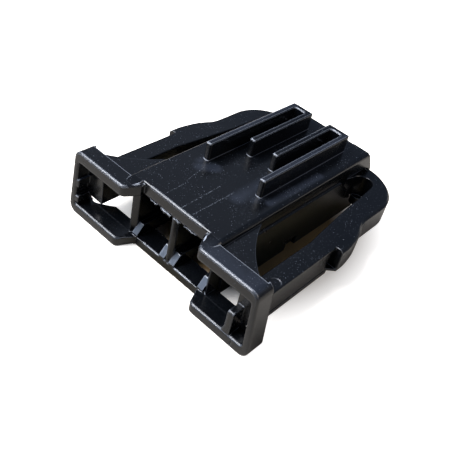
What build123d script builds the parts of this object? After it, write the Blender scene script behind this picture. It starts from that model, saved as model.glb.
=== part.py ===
from build123d import *
import os

os.makedirs("parts", exist_ok=True)

# Plug housing moulded in one piece. Millimetres. X runs along the mating face, Y to the rear,
# Z up; the origin is the middle of the collar's front lower edge, on the table. Most of the
# housing mirrors left to right, so the right half is drawn and mirrored, then the few keys that
# differ are added.

# Overlap of solids that grow out of one another, and how far cutting shapes run past a face
tuck = 0.6
past = 1.0

# Collar: the shallow frame round the mating face
collar_depth = 3.15
collar_side_depth = 3.6
collar_height = 13.4
half_width_top = 20.25
half_width_base = 21.45
collar_wall_top = 0.95
collar_wall_base = 1.5
pocket_half_top = half_width_top - collar_wall_top
pocket_half_base = half_width_base - collar_wall_base
corner_top = 1.6
corner_base = 1.7
pocket_floor = 2.0
pocket_ceiling = 11.2
pocket_corner = 0.4
rim_round = 0.35

# Step between each wing of the collar and the set-back middle, wider apart at the floor
middle_front = 3.41
step_inner = 6.9
step_run = 1.5
step_knee = 2.75
step_round = 1.1
floor_step_shift = 0.5
floor_step_inner = step_inner + floor_step_shift
floor_join = floor_step_inner + step_run * (middle_front - collar_depth) / middle_front
ramp_inset = 0.5
facet_front = 1.7
facet_run = 1.4

# Body: roof, side walls and middle wall round two chambers
middle_wall = 1.4
chamber_width = 7.65
side_wall = 0.9
roof_overhang = 0.8
wall_inner = middle_wall / 2 + chamber_width
wall_outer = wall_inner + side_wall
roof_half = wall_outer + roof_overhang
roof_rise = 0.4
roof_top = collar_height + roof_rise
roof_edge_round = 0.8
roof_rear = 44.5
roof_ramp_start = 1.6
body_rear = 47.3
chamber_ceiling = 11.55
chamber_floor = 1.65
mouth_taper = 0.85
wall_land = 0.12
roof_nick_place = (5.6, 44.5)
roof_nick_size = (1.2, 0.5, 0.25)

# Floor opening, the blind notch in the foot of each side wall, and the panel on its outside
floor_rear = 7.4
notch_front = 24.1
notch_rear = 27.1
notch_top = 2.1
notch_corner = 0.5
notch_depth = 0.75
panel_front = 6.5
panel_step = 0.3
panel_top = 9.3
panel_bend = 38.0
panel_tail = (41.1, 6.4)
panel_end = (46.3, 1.6)
gusset_front = 39.3
gusset_depth = 1.0
gusset_foot = 0.6

# Corner rails that steer a terminal into each chamber
rail_width = 1.05
rail_top = 3.7
rail_nose = 2.0
rail_nose_depth = 1.4
rail_gap = 2.0

# Webs that tie the body to the back of the collar
top_web_top = 12.7
top_web_base = 11.2
top_web_reach = 12.9
top_web_middle = (13.0, 8.0)
top_web_tip = 18.2
base_web_reach = 5.7
base_web_flat = 15.4
base_web_middle = (16.9, 4.45)
base_web_tip = 19.0

# Looped latch arms with a stepped catch
arm_top = 9.2
arm_base = 4.7
arm_inset = 0.95
arm_width = 3.55
arm_outer = half_width_top - arm_inset
arm_inner = arm_outer - arm_width
arm_root_round = 0.9
lip_base = 3.5
lip_groove = 0.3
catch_front = 22.6
catch_step = 1.4
catch_outer = arm_outer + catch_step
catch_flat_end = 23.7
catch_back = ((0.3, 26.6), (1.15, 29.9))
catch_end = 33.8
slot_front = 21.2
slot_depth = 1.3
slot_top = 8.6
slot_foot = 5.1
slot_floor = arm_outer - slot_depth
loop_waist = 0.9
loop_turn_gap = 0.73
loop_turn = (wall_outer + loop_turn_gap, 38.96)
loop_radius = arm_outer - loop_waist - loop_turn[0]
loop_rear = loop_turn[1] + loop_radius
loop_chamfer = 0.5
arm_edge = 0.2
arm_straight_end = 20.0
arm_taper = ((0.35, catch_front), (1.5, 33.5), (1.65, 37.0))
slot_end_radius = 1.93
slot_end_gap = 0.54
slot_end = (wall_outer + slot_end_gap + slot_end_radius, 42.1)
loop_throat = 40.0
boss_centre = (11.0, 43.9)
boss_radius = 1.3
boss_base = 3.1
boss_top = 4.8
pin_mark_place = (18.0, 7.9)
pin_mark_radius = 0.95
pin_mark_depth = 0.08

# Ribs on the roof: two pairs, each joined at the rear into a narrow U
rib_top = 17.15
rib_width = 1.15
rib_outer_face = 6.55
rib_inner_face = 1.97
outer_rib_front = 16.2
inner_rib_front = 23.6
rib_rear = 40.7
rib_bridge = 1.2
rib_corner = 0.3
rib_edge = 0.2

# Keys inside the side pockets, and the small mark in the rim below the post
key_front = 0.1
post_left = 16.05
post_right = 17.2
post_top = 6.6
post_depth = 2.5
post_round = 0.4
post_gusset = (0.5, 1.4)
ledge_reach = 0.75
ledge_heights = ((2.7, 3.9), (5.95, 7.45))
rim_mark = (17.95, 1.1)
rim_mark_size = (0.25, 1.0)
rim_mark_depth = 0.3

# Right latch arm: one loop in plan with rounded upper edges, its outer edge bevelled round the turn
with BuildPart() as arm:
    with BuildSketch(Plane.XY.offset(arm_base)) as loop_plan:
        with BuildLine():
            Polyline(
                (loop_turn[0], loop_rear), (wall_inner + tuck, loop_rear),
                (wall_inner + tuck, collar_depth - tuck), (arm_outer + arm_root_round, collar_depth - tuck),
                (arm_outer + arm_root_round, collar_side_depth),
            )
            RadiusArc(
                (arm_outer + arm_root_round, collar_side_depth),
                (arm_outer, collar_side_depth + arm_root_round), arm_root_round,
            )
            Polyline(
                (arm_outer, collar_side_depth + arm_root_round), (arm_outer, catch_front),
                (catch_outer, catch_front), (catch_outer, catch_flat_end),
            )
            Spline(
                (catch_outer, catch_flat_end), *[(catch_outer - x, y) for x, y in catch_back],
                (arm_outer - loop_waist, catch_end), tangents=((0, 1), (0, 1)),
            )
            Line((arm_outer - loop_waist, catch_end), (arm_outer - loop_waist, loop_turn[1]))
            CenterArc(loop_turn, loop_radius, 0, 90)
        make_face()
        with BuildLine():
            Polyline(
                (slot_end[0] - slot_end_radius, slot_end[1]), (wall_outer, loop_throat),
                (wall_inner, loop_throat), (wall_inner, collar_depth - past),
                (arm_inner, collar_depth - past),
                (arm_inner, arm_straight_end), *[(arm_inner - x, y) for x, y in arm_taper],
                (slot_end[0] + slot_end_radius, slot_end[1]),
            )
            CenterArc(slot_end, slot_end_radius, 0, 180)
        make_face(mode=Mode.SUBTRACT)
    extrude(amount=arm_top - arm_base)
    arm_edges = arm.faces().sort_by(Axis.Z)[-1].edges().filter_by(
        lambda edge: edge.center().X > wall_outer + tuck
        and edge.center().Y > collar_side_depth + arm_root_round
    )
    turn_edges = arm_edges.filter_by(
        lambda edge: edge.center().Y > catch_end and edge.center().X > loop_turn[0] + loop_radius / 2
    )
    chamfer(turn_edges, loop_chamfer)
    fillet(arm_edges - turn_edges, arm_edge)

    # Lip under the straight part, and the groove above it
    with BuildSketch(Plane.XY.offset(lip_base)):
        Polygon(
            (arm_inner, collar_depth - tuck), (arm_outer, collar_depth - tuck),
            (arm_outer, catch_front - tuck), (arm_inner, catch_front - tuck), align=None,
        )
    extrude(amount=arm_base - lip_base)
    with BuildSketch(Plane.XZ.offset(-collar_side_depth - arm_root_round)):
        with Locations((arm_outer, arm_base - lip_groove / 2)):
            Rectangle(2 * lip_groove, lip_groove)
    extrude(amount=-(slot_front - collar_side_depth - arm_root_round), mode=Mode.SUBTRACT)

    # Slot in front of the catch, open to the outside only, its floor widening to the catch
    with BuildSketch(Plane.XY.offset(slot_foot)):
        Polygon(
            (slot_floor, slot_front), (arm_outer + past, slot_front), (arm_outer + past, catch_front),
            (slot_floor, catch_front), align=None,
        )
    extrude(amount=slot_top - slot_foot, mode=Mode.SUBTRACT)
    with BuildSketch(Plane.XY.offset(arm_base)):
        Polygon(
            (slot_floor, slot_front), (arm_outer, slot_front), (catch_outer, catch_front),
            (slot_floor, catch_front), align=None,
        )
    extrude(amount=slot_foot - arm_base)

    # Round mark of an ejector pin on the straight part
    with BuildSketch(Plane.XY.offset(arm_top)):
        with Locations(pin_mark_place):
            Circle(pin_mark_radius)
    extrude(amount=-pin_mark_depth, mode=Mode.SUBTRACT)

    # Small round boss at the end of the loop
    with BuildSketch(Plane.XY.offset(boss_base)):
        with Locations(boss_centre):
            Circle(boss_radius)
    extrude(amount=boss_top - boss_base)

with BuildPart() as housing:
    # Right wing of the collar, leaning inwards to the top, with its pocket; its side reaches
    # a little further back than its top and floor
    with BuildSketch(Plane.XZ) as wing_front:
        with BuildLine():
            Polyline(
                (step_inner, 0), (half_width_base, 0),
                (half_width_top, collar_height), (step_inner, collar_height), close=True,
            )
        make_face()
        fillet(wing_front.vertices().group_by(Axis.X)[-2], corner_top)
        fillet(wing_front.vertices().sort_by(Axis.X)[-1], corner_base)
    extrude(amount=-collar_side_depth)
    with BuildSketch(Plane.XZ) as pocket_front:
        with BuildLine():
            Polyline(
                (step_inner - past, pocket_floor), (pocket_half_base, pocket_floor),
                (pocket_half_top, pocket_ceiling), (step_inner - past, pocket_ceiling), close=True,
            )
        make_face()
        fillet(pocket_front.vertices().sort_by(Axis.X)[-2:], pocket_corner)
    extrude(amount=-collar_side_depth, mode=Mode.SUBTRACT)
    with BuildSketch(Plane.XY):
        Polygon(
            (step_inner - past, collar_depth), (pocket_half_top, collar_depth),
            (pocket_half_top, collar_side_depth + past), (step_inner - past, collar_side_depth + past),
            align=None,
        )
    extrude(amount=collar_height, mode=Mode.SUBTRACT)

    # Slanted step from the wing back to the middle: with a knee above, straight at the floor
    step_top = [(step_inner + step_run, 0), (step_inner, step_knee), (step_inner, middle_front)]
    step_floor = [(floor_step_inner + step_run, 0), (floor_step_inner, middle_front)]
    for step_line, low in ((step_top, collar_height / 2), (step_floor, 0)):
        outer_x = step_line[0][0]
        with BuildSketch(Plane.XY.offset(low)) as step_plan:
            with BuildLine():
                Polyline(
                    (step_inner - past, middle_front), (step_inner - past, -past),
                    (outer_x + step_run, -past), (outer_x + step_run, 0), *step_line, close=True,
                )
            make_face()
            fillet(step_plan.vertices().sort_by_distance((*step_line[0], low))[0], step_round)
        extrude(amount=collar_height / 2, mode=Mode.SUBTRACT)

    # Rounded front rim of the wing, all but the two short ends at the step
    rim = housing.faces().filter_by(Plane.XZ).sort_by(Axis.Y)[0].edges()
    fillet(rim - rim.filter_by(Axis.Z).filter_by_position(Axis.X, 0, half_width_top / 2), rim_round)

    # Slanted facet where the wing's floor drops to the floor of the middle
    with BuildSketch(Plane.XZ.offset(-facet_front)):
        Polygon(
            (step_inner - past, chamber_floor), (floor_step_inner, chamber_floor),
            (floor_step_inner + facet_run, pocket_floor),
            (floor_step_inner + facet_run, pocket_floor + past),
            (step_inner - past, pocket_floor + past), align=None,
        )
    extrude(amount=-(middle_front - facet_front), mode=Mode.SUBTRACT)

    # Short ramp from the wing's top up to the roof, beside the step
    with BuildSketch(Plane.XY.offset(collar_height - tuck)):
        Polygon(
            (step_inner + ramp_inset, middle_front), (step_inner + ramp_inset, step_knee),
            (step_inner + 2 * ramp_inset, roof_ramp_start), (roof_half, roof_ramp_start),
            (roof_half, middle_front), align=None,
        )
    extrude(amount=roof_top - collar_height + tuck)
    with BuildSketch(Plane.YZ.offset(step_inner - past)):
        Polygon(
            (roof_ramp_start - past, collar_height), (roof_ramp_start, collar_height),
            (middle_front, roof_top), (middle_front, roof_top + past),
            (roof_ramp_start - past, roof_top + past), align=None,
        )
    extrude(amount=roof_half - step_inner + 2 * past, mode=Mode.SUBTRACT)

    # Roof plate with rounded long edges
    with BuildSketch(Plane.XY.offset(chamber_ceiling)):
        with BuildLine():
            Polyline(
                (0, middle_front), (step_inner, middle_front), (step_inner, collar_depth),
                (wall_inner, collar_depth), (wall_inner, collar_depth - tuck),
                (roof_half, collar_depth - tuck), (roof_half, body_rear), (0, body_rear), close=True,
            )
        make_face()
    extrude(amount=collar_height - chamber_ceiling)
    with BuildSketch(Plane.YZ):
        Polygon(
            (middle_front, collar_height), (body_rear, collar_height), (body_rear, roof_top),
            (middle_front, roof_top), align=None,
        )
    extrude(amount=roof_half)
    roof_edges = housing.edges().filter_by(
        lambda edge: edge.bounding_box().min.X > roof_half - wall_land
        and edge.bounding_box().max.X < roof_half + wall_land
        and edge.bounding_box().max.Z > collar_height + wall_land
        and edge.bounding_box().size.Y > wall_land
    )
    fillet(roof_edges, roof_edge_round)

    # Rounded upper edge of the middle's front
    with BuildSketch(Plane.YZ):
        with BuildLine():
            Polyline(
                (middle_front + roof_rise, roof_top), (middle_front + roof_rise, roof_top + past),
                (middle_front, roof_top + past), (middle_front, collar_height),
            )
            RadiusArc((middle_front, collar_height), (middle_front + roof_rise, roof_top), roof_rise)
        make_face()
    extrude(amount=step_inner + ramp_inset, mode=Mode.SUBTRACT)

    # Side wall, its mouth side tapered
    with BuildSketch(Plane.XY):
        Polygon(
            (wall_outer - wall_land, middle_front), (wall_outer, middle_front), (wall_outer, body_rear),
            (wall_inner, body_rear), (wall_inner, middle_front + mouth_taper), align=None,
        )
    extrude(amount=chamber_ceiling)

    # Raised panel on the wall's outside, its top edge bending down at the rear, and the notch
    with BuildSketch(Plane.YZ.offset(wall_inner + tuck)):
        with BuildLine():
            Polyline(
                panel_end, (panel_end[0], 0), (panel_front, 0), (panel_front, panel_top),
                (panel_bend, panel_top),
            )
            ThreePointArc((panel_bend, panel_top), panel_tail, panel_end)
        make_face()
    extrude(amount=wall_outer + panel_step - wall_inner - tuck)
    with BuildSketch(Plane.YZ.offset(wall_outer + panel_step)):
        Polygon(
            (notch_front, -past), (notch_rear, -past), (notch_rear, notch_top),
            (notch_front + notch_corner, notch_top), (notch_front, notch_top - notch_corner), align=None,
        )
    extrude(amount=-notch_depth, mode=Mode.SUBTRACT)

    # Gusset under the rear corner of the roof, flush with its side
    with BuildSketch(Plane.YZ.offset(wall_inner + tuck)):
        Polygon(
            (gusset_front, chamber_ceiling), (gusset_front, roof_top - roof_edge_round),
            (body_rear, roof_top - roof_edge_round), (body_rear, arm_top - gusset_foot),
            (body_rear - gusset_depth, arm_top - gusset_foot),
            (body_rear - gusset_depth, arm_top + gusset_foot),
            align=None,
        )
    extrude(amount=roof_half - wall_inner - tuck)

    # Half of the middle wall
    with BuildSketch(Plane.XY):
        Polygon(
            (0, middle_front), (wall_land, middle_front), (middle_wall / 2, middle_front + mouth_taper),
            (middle_wall / 2, body_rear), (0, body_rear), align=None,
        )
    extrude(amount=chamber_ceiling)

    # Front floor plate of the chambers, running out behind the pocket as the lower web
    with BuildSketch(Plane.XY):
        with BuildLine():
            Polyline(
                (base_web_tip, collar_depth), (base_web_tip, collar_depth - tuck),
                (floor_step_inner + step_run, collar_depth - tuck),
                (floor_step_inner + step_run, collar_depth),
                (floor_join, collar_depth), (floor_step_inner, middle_front), (0, middle_front),
                (0, floor_rear), (wall_outer, floor_rear), (wall_outer, base_web_reach),
                (base_web_flat, base_web_reach),
            )
            ThreePointArc((base_web_flat, base_web_reach), base_web_middle, (base_web_tip, collar_depth))
        make_face()
    extrude(amount=chamber_floor)

    # Rear floor plate
    with BuildSketch(Plane.XY):
        Polygon(
            (0, notch_rear), (wall_outer, notch_rear), (wall_outer, body_rear), (0, body_rear), align=None,
        )
    extrude(amount=chamber_floor)

    # Rails along the lower corners of the chamber, nosed at the mouth
    for rail_start in (middle_wall / 2 - wall_land, wall_inner - rail_width):
        with BuildSketch(Plane.YZ.offset(rail_start)):
            Polygon(
                (middle_front, chamber_floor - tuck), (middle_front, rail_nose),
                (middle_front + rail_nose_depth, rail_top), (body_rear - rail_gap, rail_top),
                (body_rear - rail_gap, chamber_floor), (floor_rear - tuck, chamber_floor), align=None,
            )
        extrude(amount=rail_width + wall_land)

    # Upper web behind the collar
    with BuildSketch(Plane.XY.offset(top_web_base)):
        with BuildLine():
            Polyline(
                (top_web_tip, collar_depth), (top_web_tip, collar_depth - tuck),
                (wall_inner + tuck, collar_depth - tuck), (wall_inner + tuck, top_web_reach),
                (roof_half, top_web_reach),
            )
            ThreePointArc((roof_half, top_web_reach), top_web_middle, (top_web_tip, collar_depth))
        make_face()
    extrude(amount=top_web_top - top_web_base)

    add(arm.part)

    # Outer and inner rib of the pair, and the bridge that closes it at the rear
    with BuildSketch(Plane.XY.offset(collar_height)) as rib_plan:
        Polygon(
            (rib_inner_face, inner_rib_front), (rib_inner_face + rib_width, inner_rib_front),
            (rib_inner_face + rib_width, rib_rear - rib_bridge),
            (rib_outer_face - rib_width, rib_rear - rib_bridge),
            (rib_outer_face - rib_width, outer_rib_front), (rib_outer_face, outer_rib_front),
            (rib_outer_face, rib_rear), (rib_inner_face, rib_rear), align=None,
        )
        fillet(rib_plan.vertices(), rib_corner)
    extrude(amount=rib_top - collar_height)
    fillet(housing.faces().filter_by(Plane.XY).sort_by(Axis.Z)[-1].edges(), rib_edge)

    mirror(about=Plane.YZ)

    # Sloping rear end of the roof, with a small nick in its upper edge
    with BuildSketch(Plane.YZ.offset(-roof_half - past)):
        Polygon(
            (roof_rear, roof_top), (body_rear + wall_land, arm_top), (body_rear + 2 * past, arm_top),
            (body_rear + 2 * past, roof_top + past), (roof_rear, roof_top + past), align=None,
        )
    extrude(amount=2 * (roof_half + past), mode=Mode.SUBTRACT)
    with Locations((*roof_nick_place, roof_top)):
        Box(*roof_nick_size, mode=Mode.SUBTRACT)

    # Key post in the right pocket with a rounded upper end, and a small gusset at its foot
    with BuildSketch(Plane.YZ.offset(post_left)):
        with BuildLine():
            Polyline(
                (key_front + post_round, post_top), (key_front + post_depth, post_top),
                (key_front + post_depth, pocket_floor - tuck), (key_front, pocket_floor - tuck),
                (key_front, post_top - post_round),
            )
            RadiusArc((key_front, post_top - post_round), (key_front + post_round, post_top), post_round)
        make_face()
    extrude(amount=post_right - post_left)
    with BuildSketch(Plane.XZ.offset(-key_front)):
        Polygon(
            (post_left - post_gusset[0], pocket_floor - rim_round),
            (post_left, pocket_floor + post_gusset[1]),
            (post_right, pocket_floor + post_gusset[1]), (post_right, pocket_floor - rim_round), align=None,
        )
    extrude(amount=-post_depth)

    # Small upright mark in the rim below the post
    with Locations((rim_mark[0], 0, rim_mark[1])):
        Box(rim_mark_size[0], rim_mark_depth, rim_mark_size[1], mode=Mode.SUBTRACT)

    # Two ledges on the side wall of the left pocket
    for ledge_low, ledge_high in ledge_heights:
        with BuildSketch(Plane.XZ.offset(-key_front)):
            Polygon(
                (-pocket_half_base - rim_round, ledge_low), (-pocket_half_base + ledge_reach, ledge_low),
                (-pocket_half_base + ledge_reach, ledge_high), (-pocket_half_base - rim_round, ledge_high),
                align=None,
            )
        extrude(amount=-(collar_depth - key_front))

housing.part.label = "housing"
export_step(housing.part, "parts/housing.step")
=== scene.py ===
import math

import bpy
import numpy as np
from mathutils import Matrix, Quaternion, Vector


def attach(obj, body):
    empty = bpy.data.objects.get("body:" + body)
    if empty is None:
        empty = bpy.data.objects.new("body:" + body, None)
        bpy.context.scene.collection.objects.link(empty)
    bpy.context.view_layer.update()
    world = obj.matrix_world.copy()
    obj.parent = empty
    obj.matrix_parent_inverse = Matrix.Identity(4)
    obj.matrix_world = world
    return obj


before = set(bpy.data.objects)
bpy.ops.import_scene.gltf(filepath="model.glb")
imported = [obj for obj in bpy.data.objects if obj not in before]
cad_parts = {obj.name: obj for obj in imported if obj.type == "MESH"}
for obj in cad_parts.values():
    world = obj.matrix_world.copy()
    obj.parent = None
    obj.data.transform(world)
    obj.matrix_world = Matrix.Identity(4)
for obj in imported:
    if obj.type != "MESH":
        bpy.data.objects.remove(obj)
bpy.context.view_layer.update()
print("frame loaded")

mm = 0.001


# sRGB hex to the linear colour that sockets take
def hexColour(text):
    parts = [int(text[i:i + 2], 16) / 255 for i in (0, 2, 4)]
    return [p / 12.92 if p <= 0.04045 else ((p + 0.055) / 1.055) ** 2.4 for p in parts] + [1.0]


# adds one node with its properties, input values and links; a node given as the source of a
# link stands for its first output in use
def addNode(tree, kind, values=None, links=None, **settings):
    node = tree.nodes.new(kind)
    for key, value in settings.items():
        setattr(node, key, value)
    for key, value in (values or {}).items():
        node.inputs[key].default_value = value
    for key, source in (links or {}).items():
        if isinstance(source, bpy.types.Node):
            source = next(output for output in source.outputs if output.enabled)
        tree.links.new(source, node.inputs[key])
    return node


# names the limits of a range: lowest and highest in, then lowest and highest out
def limits(values):
    return dict(zip(("From Min", "From Max", "To Min", "To Max"), values))


def newMaterial(name):
    material = bpy.data.materials.new(name)
    material.use_nodes = True
    material.node_tree.nodes.clear()
    return material, material.node_tree


# Black glass-filled nylon, injection moulded. To the eye it is nearly black and satin with a
# cool sheen; its edges are thin pale lines, partly rubbed and partly a painted highlight, and the roof
# carries dust and scuffs. The top faces carry a painted sheen in patches, and the rail noses and the
# ledge top a painted highlight.
# The real grain of the fibres is about 0.05 mm and most dust is as fine, too small to show in
# the render, so both are drawn a few times as coarse.
nylon = {
    "dark": "040608",
    "light": "0a0c10",
    "toneRange": (0.3, 0.7),  # of the grain
    # painted sheen: lighter bluish patches on the top faces
    "paintedSheen": "20242c",
    "paintedSheenStrength": 2.5,
    "paintedFacetHighlight": "565e69",  # painted highlight on the noses of the floor rails and the top of the upper ledge
    # pale edge lines, partly rubbing and partly a painted highlight
    "edgeWearAndHighlight": "dde6f4",
    "scuff": "5f656d",
    "scuffRange": (0.48, 0.6),  # of the grain, which breaks the lines up
    "salt": "6f7682",
    "dust": "969ba3",
    "ior": 1.53,
    "roughness": 0.22,
    "roughnessSpread": 0.07,
    "dustRoughness": 0.7,
    "grainSize": 0.3 * mm,
    "grainHeight": 0.02 * mm,
    "grainStrength": 0.3,
    "cloudSize": 5 * mm,
    "upwardRange": (0.5, 0.9),  # of the face's normal along Z
}

# Dust and the finer salt: spacing, largest radius as a share of it, and share of cells filled
specks = {
    "dust": {"spacing": 0.42 * mm, "radius": 0.22, "share": 0.08, "shareInBand": 0.6},
    "salt": {"spacing": 0.2 * mm, "radius": 0.35, "share": 1.0},
    "softness": 0.08,
    "palePower": 4.0,
    "palest": 0.15,
    "cloudRange": (0.35, 0.65),
    "heights": (2 * mm, 9 * mm, 0.2, 1.0),  # less of both down in the pockets
    "frontFaces": (-0.8, -1.0, 0.0, 0.35),  # of the face's normal along Y
}

# Rounded edges, with pale lines that are partly rubbing and partly a painted highlight
edges = {
    "radius": 0.3 * mm,
    "rimRadius": 0.6 * mm,  # along the front rims, which are rounder
    "ribs": (16.3 * mm, 16.4 * mm, 0.0, 0.42 * mm),  # radius by height
    "samples": 8,
    "bendRange": (0.994, 0.95),  # cosine between the rounded normal and the face's own
    "upRange": (0.2, 0.85, 0.1, 1.0),  # painted highlight: paler the more the edge looks up
    "frontRange": (-0.1, -0.35),  # and the more it looks to the front
    "sideShare": (12.9 * mm, 13.2 * mm, 0.12, 0.35),  # share left on the other edges, by height
    "exposedShare": (9.5 * mm, 13 * mm, 0.3, 1.0),
    "quietShare": 0.35,  # along the ribs' feet, on the arms and at the step corners
    "grainRange": (0.35, 0.6, 0.85),  # of the grain, and the share where it is lowest
}

# Marks on the top, in mm in plan: start x, y, end x, y, half width and strength
marks = {
    "scuffs": [
        (-3.1, 4.1, -3.2, 8.8, 0.08, 1.0), (-3.6, 9.4, -4.5, 14.3, 0.08, 1.0),
        (0.85, 3.5, 0.6, 12.9, 0.15, 1.0), (3.0, 4.2, 3.0, 13.4, 0.15, 1.0),
        (-9.5, 5.2, -7.3, 6.7, 0.07, 1.0), (-7.3, 6.7, -6.0, 6.4, 0.07, 1.0),
        (8.55, 17.4, 8.7, 17.5, 0.14, 1.0), (9.65, 18.3, 9.75, 18.4, 0.12, 1.0),
        (7.35, 15.2, 7.45, 15.3, 0.12, 1.0), (-8.2, 14.4, -8.1, 14.5, 0.12, 1.0),
        (6.9, 11.7, 6.95, 11.8, 0.12, 1.0),
    ],
    "dustBands": [
        (-9.3, 2.8, -9.3, 18.0, 0.5, 1.0), (9.2, 2.5, 9.4, 32.0, 0.9, 1.0),
        (0.7, 3.5, 0.6, 20.0, 0.8, 0.8), (3.0, 4.2, 3.0, 20.0, 0.9, 0.8),
    ],
    # patches of painted sheen on the top faces
    "paintedSheenPatches": [
        (11.0, 1.2, 19.0, 1.2, 3.5, 1.0), (8.2, 16.5, 8.6, 30.0, 1.0, 1.3),
        (-5.0, 14.0, -3.4, 15.8, 1.6, 1.2), (4.3, 13.0, 4.3, 22.0, 1.8, 1.0),
        (-6.2, 15.0, -6.2, 41.0, 1.2, 0.8), (6.2, 15.0, 6.2, 41.0, 1.2, 0.9),
    ],
}

# Masks from one coordinate and a limit; COMPARE takes a middle and a reach to both sides
tests = {
    "atRoofHeight": ("height", "COMPARE", 13.8 * mm, 0.2 * mm),
    "onTop": ("height", "GREATER_THAN", 13 * mm),
    "atLedgeTop": ("height", "COMPARE", 7.45 * mm, 0.2 * mm),
    "nearFloor": ("height", "LESS_THAN", 4 * mm),
    "farLeft": ("across", "LESS_THAN", -15 * mm),
    "slantedUp": ("tilt", "COMPARE", 0.635, 0.06),
    "onWingRim": ("depth", "LESS_THAN", 0.9 * mm),
    "inFront": ("depth", "LESS_THAN", 4.3 * mm),
    "atStepDepth": ("depth", "COMPARE", 3.7 * mm, 1.0 * mm),
    "behindCollar": ("depth", "GREATER_THAN", 4 * mm),
    "behindRims": ("depth", "GREATER_THAN", 8 * mm),
    "inMiddle": ("offMiddle", "LESS_THAN", 5.9 * mm),
    "atStepSide": ("offMiddle", "COMPARE", 6.8 * mm, 1.1 * mm),
    "farOut": ("offMiddle", "GREATER_THAN", 10 * mm),
}

# Masks that are the product of the ones named
areas = {
    # where the painted highlight goes: the rail noses and the ledge top
    "noses": ("slantedUp", "nearFloor"),
    "ledge": ("atLedgeTop", "farLeft", "upward"),
    "paintedSheenArea": ("paintedSheenPatches", "upward", "onTop", "cloud"),
    "middleRim": ("inMiddle", "inFront"),
    "ribFeet": ("atRoofHeight", "behindRims"),
    "arms": ("farOut", "behindCollar"),
    "stepCorners": ("atStepSide", "atStepDepth"),
    "frontDust": ("frontFaces", "inFront"),
    "dustBand": ("dustBands", "atRoofHeight"),
    "scuffLines": ("scuffs", "brokenUp", "atRoofHeight"),
}


# largest value over the marks of strength x (1 - distance to the segment / half width)
def markMask(tree, plan, rows):
    mask = None
    for x0, y0, x1, y1, halfWidth, strength in rows:
        along = Vector((x1 - x0, y1 - y0, 0)) * mm
        offset = addNode(tree, "ShaderNodeVectorMath", {
            1: (x0 * mm, y0 * mm, 0)}, {0: plan}, operation="SUBTRACT")
        share = addNode(tree, "ShaderNodeVectorMath", {
            1: along / along.length_squared}, {0: offset}, operation="DOT_PRODUCT")
        inside = addNode(tree, "ShaderNodeClamp", None, {"Value": share})
        foot = addNode(tree, "ShaderNodeVectorMath", {0: along}, {
            "Scale": inside}, operation="SCALE")
        gap = addNode(tree, "ShaderNodeVectorMath", None, {
            0: offset, 1: foot}, operation="DISTANCE")
        near = addNode(tree, "ShaderNodeMapRange", limits((0.0, halfWidth * mm, strength, 0.0)), {
            "Value": gap})
        mask = near if mask is None else addNode(tree, "ShaderNodeMath", None, {
            0: mask, 1: near}, operation="MAXIMUM")
    return mask


# round specks, one to a cell: 1 within a radius that grows as the cell's random value passes
# lowest, times a paleness that differs from speck to speck
def speckMask(tree, place, dusty, values, lowest):
    cells = addNode(tree, "ShaderNodeTexVoronoi", {"Scale": 1 / values["spacing"]}, {"Vector": place})
    chance = addNode(tree, "ShaderNodeSeparateColor", None, {"Color": cells.outputs["Color"]}).outputs
    radius = addNode(tree, "ShaderNodeMapRange", {"To Max": values["radius"]}, {
        "Value": chance["Red"], "From Min": lowest})
    inside = addNode(tree, "ShaderNodeMath", None, {
        0: radius, 1: cells.outputs["Distance"]}, operation="SUBTRACT")
    inside = addNode(tree, "ShaderNodeMapRange", limits((0.0, specks["softness"])), {
        "Value": inside})
    pale = addNode(tree, "ShaderNodeMath", {1: specks["palePower"]}, {
        0: chance["Green"]}, operation="POWER")
    pale = addNode(tree, "ShaderNodeMapRange", {"To Min": specks["palest"]}, {"Value": pale})
    mask = addNode(tree, "ShaderNodeMath", None, {0: inside, 1: pale}, operation="MULTIPLY")
    return addNode(tree, "ShaderNodeMath", None, {0: mask, 1: dusty}, operation="MULTIPLY")


# the coordinates, noises and masks that the effects share, by name
def findSpots(tree):
    place = addNode(tree, "ShaderNodeTexCoord").outputs["Object"]
    facing = addNode(tree, "ShaderNodeNewGeometry").outputs["Normal"]
    plan = addNode(tree, "ShaderNodeVectorMath", {1: (1, 1, 0)}, {0: place}, operation="MULTIPLY")
    axes = addNode(tree, "ShaderNodeSeparateXYZ", None, {"Vector": place}).outputs
    normal = addNode(tree, "ShaderNodeSeparateXYZ", None, {"Vector": facing}).outputs
    spots = {"place": place, "facing": facing, "across": axes["X"], "depth": axes["Y"],
             "height": axes["Z"], "tilt": normal["Z"]}
    spots["offMiddle"] = addNode(tree, "ShaderNodeMath", None, {0: axes["X"]}, operation="ABSOLUTE")
    for name in ("grain", "cloud"):
        spots[name] = addNode(tree, "ShaderNodeTexNoise", {
            "Scale": 1 / nylon[name + "Size"], "Detail": 3.0, "Roughness": 0.6}, {"Vector": place})
    for name, rows in marks.items():
        spots[name] = markMask(tree, plan, rows)
    spots["upward"] = addNode(tree, "ShaderNodeMapRange", limits(nylon["upwardRange"]), {
        "Value": normal["Z"]})
    spots["frontFaces"] = addNode(tree, "ShaderNodeMapRange", limits(specks["frontFaces"]), {
        "Value": normal["Y"]})
    spots["brokenUp"] = addNode(tree, "ShaderNodeMapRange", limits(nylon["scuffRange"]), {
        "Value": spots["grain"]})
    for name, (coordinate, test, *values) in tests.items():
        spots[name] = addNode(tree, "ShaderNodeMath", dict(enumerate(values, 1)), {
            0: spots[coordinate]}, operation=test)
    for name, (first, *others) in areas.items():
        spots[name] = spots[first]
        for other in others:
            spots[name] = addNode(tree, "ShaderNodeMath", None, {
                0: spots[name], 1: spots[other]}, operation="MULTIPLY")
    return spots
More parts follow.
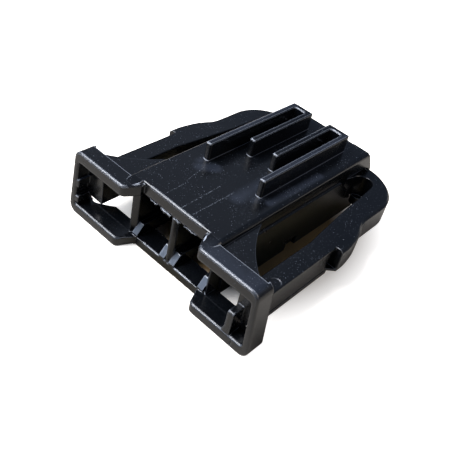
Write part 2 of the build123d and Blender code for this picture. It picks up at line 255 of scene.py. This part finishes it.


# the rounded normal, and the pale edge lines, partly rubbing and partly a painted highlight: where
# that normal leaves the face's own, times the shares for the way the edge looks and the place it has
def findEdges(tree, spots):
    onRim = addNode(tree, "ShaderNodeMath", None, {
        0: spots["onWingRim"], 1: spots["middleRim"]}, operation="MAXIMUM")
    rimRadius = addNode(tree, "ShaderNodeMapRange", {
        "To Min": edges["radius"], "To Max": edges["rimRadius"]}, {"Value": onRim})
    ribRadius = addNode(tree, "ShaderNodeMapRange", limits(edges["ribs"]), {
        "Value": spots["height"]})
    radius = addNode(tree, "ShaderNodeMath", None, {
        0: rimRadius, 1: ribRadius}, operation="MAXIMUM")
    bevel = addNode(tree, "ShaderNodeBevel", None, {"Radius": radius}, samples=edges["samples"])
    looks = addNode(tree, "ShaderNodeSeparateXYZ", None, {"Vector": bevel}).outputs

    cosine = addNode(tree, "ShaderNodeVectorMath", None, {
        0: bevel, 1: spots["facing"]}, operation="DOT_PRODUCT")
    edgeWearAndHighlightMask = addNode(tree, "ShaderNodeMapRange", limits(edges["bendRange"]), {"Value": cosine})
    sideShare = addNode(tree, "ShaderNodeMapRange", limits(edges["sideShare"]), {
        "Value": spots["height"]})
    quiet = spots["ribFeet"]
    for name in ("arms", "stepCorners"):
        quiet = addNode(tree, "ShaderNodeMath", None, {
            0: quiet, 1: spots[name]}, operation="MAXIMUM")
    shares = [
        addNode(tree, "ShaderNodeMapRange", {"To Min": 1.0, "To Max": edges["quietShare"]}, {
            "Value": quiet}),
        addNode(tree, "ShaderNodeMapRange", limits(edges["exposedShare"]), {
            "Value": spots["height"]}),
        addNode(tree, "ShaderNodeMapRange", limits(edges["frontRange"]), {
            "Value": looks["Y"], "To Min": sideShare}),
        addNode(tree, "ShaderNodeMapRange", limits(edges["upRange"]), {"Value": looks["Z"]}),
        addNode(tree, "ShaderNodeMapRange", limits(edges["grainRange"]), {
            "Value": spots["grain"]}),
    ]
    for share in shares:
        edgeWearAndHighlightMask = addNode(tree, "ShaderNodeMath", None, {0: edgeWearAndHighlightMask, 1: share}, operation="MULTIPLY")
    return bevel, edgeWearAndHighlightMask


# dust and salt on the faces that look up, and a little on the front ones: dust is denser in
# bands along the roof's edges and scuffs, salt where the slow noise is high
def findSpecks(tree, spots):
    faces = addNode(tree, "ShaderNodeMath", None, {
        0: spots["upward"], 1: spots["frontDust"]}, operation="MAXIMUM")
    dusty = addNode(tree, "ShaderNodeMapRange", limits(specks["heights"]), {
        "Value": spots["height"]})
    dusty = addNode(tree, "ShaderNodeMath", None, {0: dusty, 1: faces}, operation="MULTIPLY")
    dustFloor = addNode(tree, "ShaderNodeMapRange", {
        "To Min": 1 - specks["dust"]["share"], "To Max": 1 - specks["dust"]["shareInBand"]}, {
        "Value": spots["dustBand"]})
    saltFloor = addNode(tree, "ShaderNodeMapRange", limits(
        (*specks["cloudRange"], 1.0, 1 - specks["salt"]["share"])), {"Value": spots["cloud"]})
    return (speckMask(tree, spots["place"], dusty, specks["dust"], dustFloor),
            speckMask(tree, spots["place"], dusty, specks["salt"], saltFloor))


def nylonMaterial():
    material, tree = newMaterial("glassFilledNylon")
    spots = findSpots(tree)
    bevel, edgeWearAndHighlightMask = findEdges(tree, spots)
    dust, salt = findSpecks(tree, spots)
    # painted sheen: lighter patches on the top faces, broken up by the slow noise
    paintedSheen = addNode(tree, "ShaderNodeMath", {1: nylon["paintedSheenStrength"]}, {
        0: spots["paintedSheenArea"]}, operation="MULTIPLY", use_clamp=True)

    # from the moulded tone outwards, each layer lies over the ones before it
    tone = addNode(tree, "ShaderNodeMapRange", limits(nylon["toneRange"]), {"Value": spots["grain"]})
    tone = addNode(tree, "ShaderNodeMix", {
        "A": hexColour(nylon["dark"]), "B": hexColour(nylon["light"])}, {
        "Factor": tone}, data_type="RGBA")
    # painted sheen, painted highlights on the rail noses, the ledge top and the edges (the edges partly
    # rubbing too), then scuffs, salt and dust
    layers = [
        ("paintedSheen", paintedSheen), ("paintedFacetHighlight", spots["noses"]), ("paintedFacetHighlight", spots["ledge"]),
        ("edgeWearAndHighlight", edgeWearAndHighlightMask), ("scuff", spots["scuffLines"]), ("salt", salt), ("dust", dust),
    ]
    for colour, mask in layers:
        tone = addNode(tree, "ShaderNodeMix", {"B": hexColour(nylon[colour])}, {
            "Factor": mask, "A": tone}, data_type="RGBA")

    roughness = addNode(tree, "ShaderNodeMapRange", limits((
        *nylon["toneRange"], nylon["roughness"] - nylon["roughnessSpread"],
        nylon["roughness"] + nylon["roughnessSpread"])), {"Value": spots["cloud"]})
    roughness = addNode(tree, "ShaderNodeMix", {"B": nylon["dustRoughness"]}, {
        "Factor": dust, "A": roughness}, data_type="FLOAT")
    bump = addNode(tree, "ShaderNodeBump", {
        "Strength": nylon["grainStrength"], "Distance": nylon["grainHeight"]}, {
        "Height": spots["grain"], "Normal": bevel})
    surface = addNode(tree, "ShaderNodeBsdfPrincipled", {"IOR": nylon["ior"]}, {
        "Base Color": tone, "Roughness": roughness, "Normal": bump})
    addNode(tree, "ShaderNodeOutputMaterial", None, {"Surface": surface})
    return material


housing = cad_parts["housing"]
glassFilledNylon = nylonMaterial()
housing.data.materials.clear()
housing.data.materials.append(glassFilledNylon)
print("housing finished")


# Torn flash that the mould left under the roof's front edge.
# Each row in mm: start x, y, z, end x, y, z, height and thickness
flash = {
    "rows": [
        (-2.9, 3.42, 11.5, -0.5, 3.4, 11.5, 0.75, 0.14), (-0.2, 3.42, 11.45, 1.5, 3.4, 11.5, 0.6, 0.14),
        (-5.4, 3.42, 11.5, -3.6, 3.4, 11.5, 0.35, 0.12), (2.3, 3.42, 11.5, 5.2, 3.4, 11.5, 0.3, 0.12),
    ],
    "steps": 40,
    "sides": 10,
    "endPower": 0.35,
    "wobble": 0.175,
    "wobbleWaves": (9, 23, 51),
    "lean": 0.06,
    "leanWave": 13,
}


# A flake is an ellipse carried along a straight path, with u from 0 to 1: its height is
# height x sin(pi u) ^ endPower x (1 + wobble x three sines of u), its top stays on the path,
# it leans to and fro by a sine of u, and its narrow ends are closed.
def addFlash():
    points, faces = [], []
    steps, sides = flash["steps"], flash["sides"]
    u = np.linspace(0, 1, steps)
    angle = np.linspace(0, 2 * np.pi, sides, endpoint=False)
    for number, row in enumerate(flash["rows"]):
        start, end, (height, thickness) = np.array(row[0:3]), np.array(row[3:6]), row[6:8]
        waves = [np.sin(wave * u + turn * number) for turn, wave in enumerate(flash["wobbleWaves"], 1)]
        drop = height * np.sin(np.pi * u).clip(0.0001) ** flash["endPower"]
        drop = drop * (1 + flash["wobble"] * sum(waves))
        path = start + (end - start) * u[:, None]
        path[:, 1] += flash["lean"] * np.sin(flash["leanWave"] * u + number)
        grid = np.zeros((steps, sides, 3))
        grid[:, :, 0] = path[:, 0, None]
        grid[:, :, 1] = path[:, 1, None] + thickness / 2 * np.sin(angle)
        grid[:, :, 2] = path[:, 2, None] + drop[:, None] * (np.cos(angle) - 1) / 2
        first = len(points)
        points.extend((grid.reshape(-1, 3) * mm).tolist())
        i, j = np.meshgrid(np.arange(steps - 1), np.arange(sides), indexing="ij")
        following = (j + 1) % sides
        quads = np.stack([i * sides + j, (i + 1) * sides + j, (i + 1) * sides + following,
                          i * sides + following], -1)
        faces.extend((quads.reshape(-1, 4) + first).tolist())
        faces.append([first + k for k in range(sides)])
        faces.append([first + (steps - 1) * sides + k for k in reversed(range(sides))])
    mesh = bpy.data.meshes.new("mouldFlash")
    mesh.from_pydata(points, [], faces)
    mesh.materials.append(glassFilledNylon)
    piece = bpy.data.objects.new("mouldFlash", mesh)
    bpy.context.scene.collection.objects.link(piece)
    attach(piece, "root")


addFlash()
print("flash added")


# Matt studio paper: white to the camera away from the part, and with painted shade close by, a browner,
# darker tone and a glow that fades out under the part, over its real shadow.
# Rays that the part mirrors meet a painted darker, warmer tone under the part, so the black walls stay
# dark.
# The ranges are distances in the ellipse's own half axes.
floorValues = {
    "size": 3.0,
    "centre": (0, 26 * mm, 0),
    "halfAxes": (17.5 * mm, 22.5 * mm, 1),  # of the ellipse under the part
    "under": ("87704f", "f6eee2"),  # painted shade: a browner, darker tone under the part, and the pale tone outside
    "underRange": (0.78, 1.0),
    # painted shade in what the part mirrors: darker and warmer under the part, paler outside
    "mirrored": ("776f59", "b2aca2"),
    "mirroredRange": (1.0, 1.2),
    # glow for the camera only: none under the part, which paints shade there, rising further out, where
    # it lightens the real shadow
    "glowWithPaintedShadeRange": (0.92, 1.35, 0.0, 0.9),
}


def addFloor():
    half = floorValues["size"] / 2
    mesh = bpy.data.meshes.new("floor")
    mesh.from_pydata(
        [(-half, -half, 0), (half, -half, 0), (half, half, 0), (-half, half, 0)], [], [(0, 1, 2, 3)])
    floor = bpy.data.objects.new("floor", mesh)
    bpy.context.scene.collection.objects.link(floor)
    material, tree = newMaterial("mattPaperWithPaintedShade")
    place = addNode(tree, "ShaderNodeTexCoord").outputs["Object"]
    offset = addNode(tree, "ShaderNodeVectorMath", {1: floorValues["centre"]}, {
        0: place}, operation="SUBTRACT")
    offset = addNode(tree, "ShaderNodeVectorMath", {1: floorValues["halfAxes"]}, {
        0: offset}, operation="DIVIDE")
    distance = addNode(tree, "ShaderNodeVectorMath", None, {0: offset}, operation="LENGTH")
    matt = {}
    for name in ("under", "mirrored"):
        inner, outer = (hexColour(text) for text in floorValues[name])
        share = addNode(tree, "ShaderNodeMapRange", limits(floorValues[name + "Range"]), {
            "Value": distance})
        tone = addNode(tree, "ShaderNodeMix", {"A": inner, "B": outer}, {
            "Factor": share}, data_type="RGBA")
        matt[name] = addNode(tree, "ShaderNodeBsdfDiffuse", None, {"Color": tone})
    # the glow fades out under the part, painting shade there
    glowWithPaintedShade = addNode(tree, "ShaderNodeMapRange", limits(floorValues["glowWithPaintedShadeRange"]), {
        "Value": distance})
    glow = addNode(tree, "ShaderNodeEmission", {"Color": hexColour("ffffff")}, {
        "Strength": glowWithPaintedShade})
    lit = addNode(tree, "ShaderNodeAddShader", None, {0: matt["under"], 1: glow})
    ray = addNode(tree, "ShaderNodeLightPath").outputs["Is Camera Ray"]
    mix = addNode(tree, "ShaderNodeMixShader", None, {0: ray, 1: matt["mirrored"], 2: lit})
    addNode(tree, "ShaderNodeOutputMaterial", None, {"Surface": mix})
    mesh.materials.append(material)


# Soft studio light: an even world, one large soft lamp above the front left, and two weak ones
lightValues = {
    "world": ("b9cdf2", 0.2),
    "aim": (0.0, 0.02, 0.01),
    "lamps": {
        "frontSoftbox": {"place": (-0.32, -0.30, 0.61), "size": 0.5, "power": 12.0, "colour": "f6f8ff"},
        "sideFill": {"place": (0.50, 0.12, 0.36), "size": 0.4, "power": 0.9, "colour": "fff2e4"},
        "rearSoftbox": {"place": (-0.45, 0.45, 0.60), "size": 0.5, "power": 0.1, "colour": "eaf0ff"},
    },
}


def addLight():
    world = bpy.data.worlds.new("studio")
    bpy.context.scene.world = world
    world.use_nodes = True
    tree = world.node_tree
    tree.nodes.clear()
    colour, strength = lightValues["world"]
    ray = addNode(tree, "ShaderNodeLightPath").outputs["Is Camera Ray"]
    sky = addNode(tree, "ShaderNodeBackground", {"Color": hexColour(colour), "Strength": strength})
    white = addNode(tree, "ShaderNodeBackground", {"Color": hexColour("ffffff"), "Strength": 1.0})
    mix = addNode(tree, "ShaderNodeMixShader", None, {0: ray, 1: sky, 2: white})
    addNode(tree, "ShaderNodeOutputWorld", None, {"Surface": mix})
    for name, values in lightValues["lamps"].items():
        lamp = bpy.data.lights.new(name, "AREA")
        lamp.shape = "DISK"
        lamp.size = values["size"]
        lamp.energy = values["power"]
        lamp.color = hexColour(values["colour"])[:3]
        lampObject = bpy.data.objects.new(name, lamp)
        lampObject.location = values["place"]
        look = Vector(lightValues["aim"]) - Vector(values["place"])
        lampObject.rotation_euler = look.to_track_quat("-Z", "Y").to_euler()
        bpy.context.scene.collection.objects.link(lampObject)


# Camera found from the part's own straight edges in the photograph
cameraValues = {
    "place": (48.49 * mm, -54.31 * mm, 75.91 * mm),
    "aim": (3.738 * mm, 12.277 * mm, 8.0 * mm),
    "rollDegrees": 13.858,
    "lens": 50.926,
    "sensor": 36,
    "nearest": 5 * mm,
}


def addCamera():
    cameraData = bpy.data.cameras.new("camera")
    cameraData.lens = cameraValues["lens"]
    cameraData.sensor_width = cameraValues["sensor"]
    cameraData.clip_start = cameraValues["nearest"]
    cameraObject = bpy.data.objects.new("camera", cameraData)
    look = Vector(cameraValues["aim"]) - Vector(cameraValues["place"])
    roll = Quaternion((0, 0, 1), math.radians(cameraValues["rollDegrees"]))
    cameraObject.location = cameraValues["place"]
    cameraObject.rotation_euler = (look.to_track_quat("-Z", "Y") @ roll).to_euler()
    bpy.context.scene.collection.objects.link(cameraObject)
    bpy.context.scene.camera = cameraObject


addFloor()
addLight()
addCamera()
bpy.context.scene.view_settings.view_transform = "Standard"
print("stage, light and camera placed")
